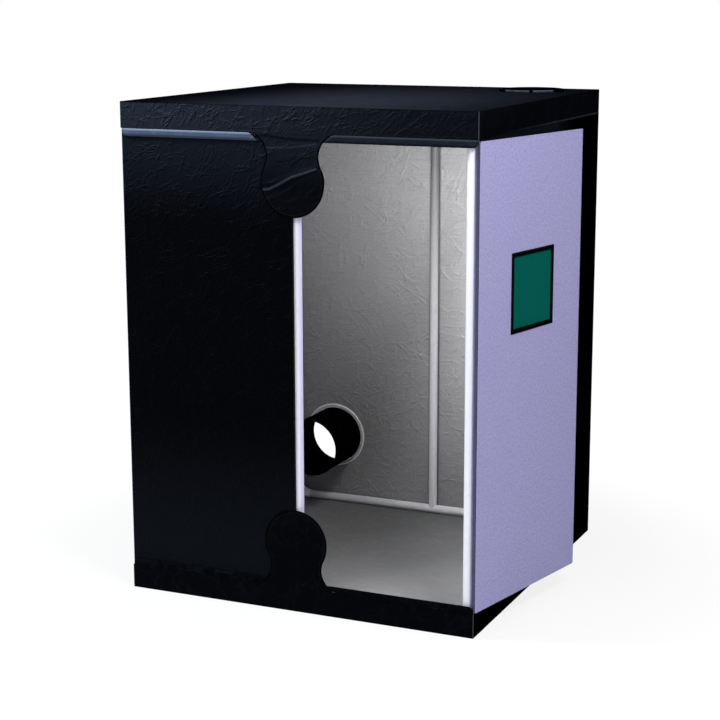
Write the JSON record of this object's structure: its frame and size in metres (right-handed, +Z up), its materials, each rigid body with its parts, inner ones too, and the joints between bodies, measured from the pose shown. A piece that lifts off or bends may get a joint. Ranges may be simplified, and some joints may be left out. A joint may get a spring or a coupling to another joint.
{
  "type": "printer enclosure tent",
  "caption": "Upright cloth tent on a pole frame that encloses a 3-D printer, with zipped double doors, a window and duct sleeves.",
  "frame": {"origin": "middle of the tent's base, on the surface that it stands on", "axes": "+Z up, front with the doors towards -Y, right side towards +X"},
  "size_m": [0.8311, 0.7654, 1.005],
  "materials": {
    "painted_steel": "white powder coat, satin",
    "connector_plastic": "moulded, satin",
    "shell_cloth": "coated black cloth, glossy, finely crinkled",
    "reflective_lining": "silver-grey reflective film, finely crinkled",
    "door_lining": "the lining as it shows on the open door, fine grain",
    "zip_tape": "woven tape with a nylon coil",
    "binding_tape": "black binding, stitched",
    "window_film": "dark green see-through film",
    "sleeve_cloth": "coated black cloth, glossy",
    "ring_cloth": "folded seam of the lining",
    "hook_tape": "hook tape, matt",
    "slider_metal": "dark plated"
  },
  "bodies": {
    "root": {"corner_post_front_left": "painted_steel", "corner_post_front_right": "painted_steel", "corner_post_back_left": "painted_steel", "corner_post_back_right": "painted_steel", "middle_post_front": "painted_steel", "middle_post_back": "painted_steel", "bottom_rail_front": "painted_steel", "bottom_rail_back": "painted_steel", "bottom_rail_left": "painted_steel", "bottom_rail_right": "painted_steel", "top_rail_front": "painted_steel", "top_rail_back": "painted_steel", "top_rail_left": "painted_steel", "top_rail_right": "painted_steel", "bottom_connector_front_left": "connector_plastic", "bottom_connector_front_right": "connector_plastic", "bottom_connector_back_left": "connector_plastic", "bottom_connector_back_right": "connector_plastic", "top_connector_front_left": "connector_plastic", "top_connector_front_right": "connector_plastic", "top_connector_back_left": "connector_plastic", "top_connector_back_right": "connector_plastic", "roof_panel": "shell_cloth", "top_band_left": "shell_cloth", "top_band_right": "shell_cloth", "top_band_front": "shell_cloth", "top_band_back": "shell_cloth", "bottom_band_front": "shell_cloth", "left_wall": "shell_cloth", "right_wall": "shell_cloth", "back_wall": "shell_cloth", "floor_sheet": "shell_cloth", "floor_lining": "reflective_lining", "roof_lining": "reflective_lining", "left_wall_lining": "reflective_lining", "right_wall_lining": "reflective_lining", "back_wall_lining": "reflective_lining", "zip_top_fixed": "zip_tape", "zip_bottom_fixed": "zip_tape", "zip_cover_top_left": "shell_cloth", "zip_cover_top_right": "shell_cloth", "zip_cover_bottom_left": "shell_cloth", "zip_cover_bottom_right": "shell_cloth", "back_port_sleeve": "sleeve_cloth", "back_port_ring": "ring_cloth", "roof_port_sleeve": "sleeve_cloth", "roof_port_ring": "ring_cloth"},
    "left_door": {"left_door_shell": "shell_cloth", "left_door_lining": "reflective_lining", "left_door_zip": "zip_tape"},
    "right_door": {"right_door_shell": "shell_cloth", "right_door_lining": "door_lining", "right_door_zip": "zip_tape", "window_frame": "binding_tape", "window_pane": "window_film"},
    "top_flap": {"top_flap": "shell_cloth", "top_flap_hook": "hook_tape"},
    "bottom_flap": {"bottom_flap": "shell_cloth", "bottom_flap_hook": "hook_tape"},
    "zip_slider": {"zip_slider": "slider_metal"}
  },
  "joints": [
    {"name": "left_door_hinge", "type": "hinge", "parent": "root", "child": "left_door", "pos_m": [-0.375, -0.371, 0.5], "axis": [0, 0, -1], "range_deg": [0, 267.8], "deforming": ["zip_cover_top_left", "zip_cover_bottom_left", "top_flap", "top_flap_hook", "bottom_flap", "bottom_flap_hook"]},
    {"name": "right_door_hinge", "type": "hinge", "parent": "root", "child": "right_door", "pos_m": [0.375, -0.371, 0.5], "axis": [0, 0, 1], "range_deg": [-257.8, 10], "deforming": ["zip_cover_top_right", "zip_cover_bottom_right", "top_flap", "top_flap_hook", "bottom_flap", "bottom_flap_hook"]},
    {"name": "top_flap_fold", "type": "hinge", "parent": "root", "child": "top_flap", "pos_m": [0, -0.375, 0.948], "axis": [-1, 0, 0], "range_deg": [0, 150]},
    {"name": "bottom_flap_fold", "type": "hinge", "parent": "root", "child": "bottom_flap", "pos_m": [0, -0.375, 0.0492], "axis": [1, 0, 0], "range_deg": [0, 100]},
    {"name": "zip_slide", "type": "slide", "parent": "left_door", "child": "zip_slider", "axis": [0, 0, 1], "range_m": [-0.78, 0.055]}
  ]
}
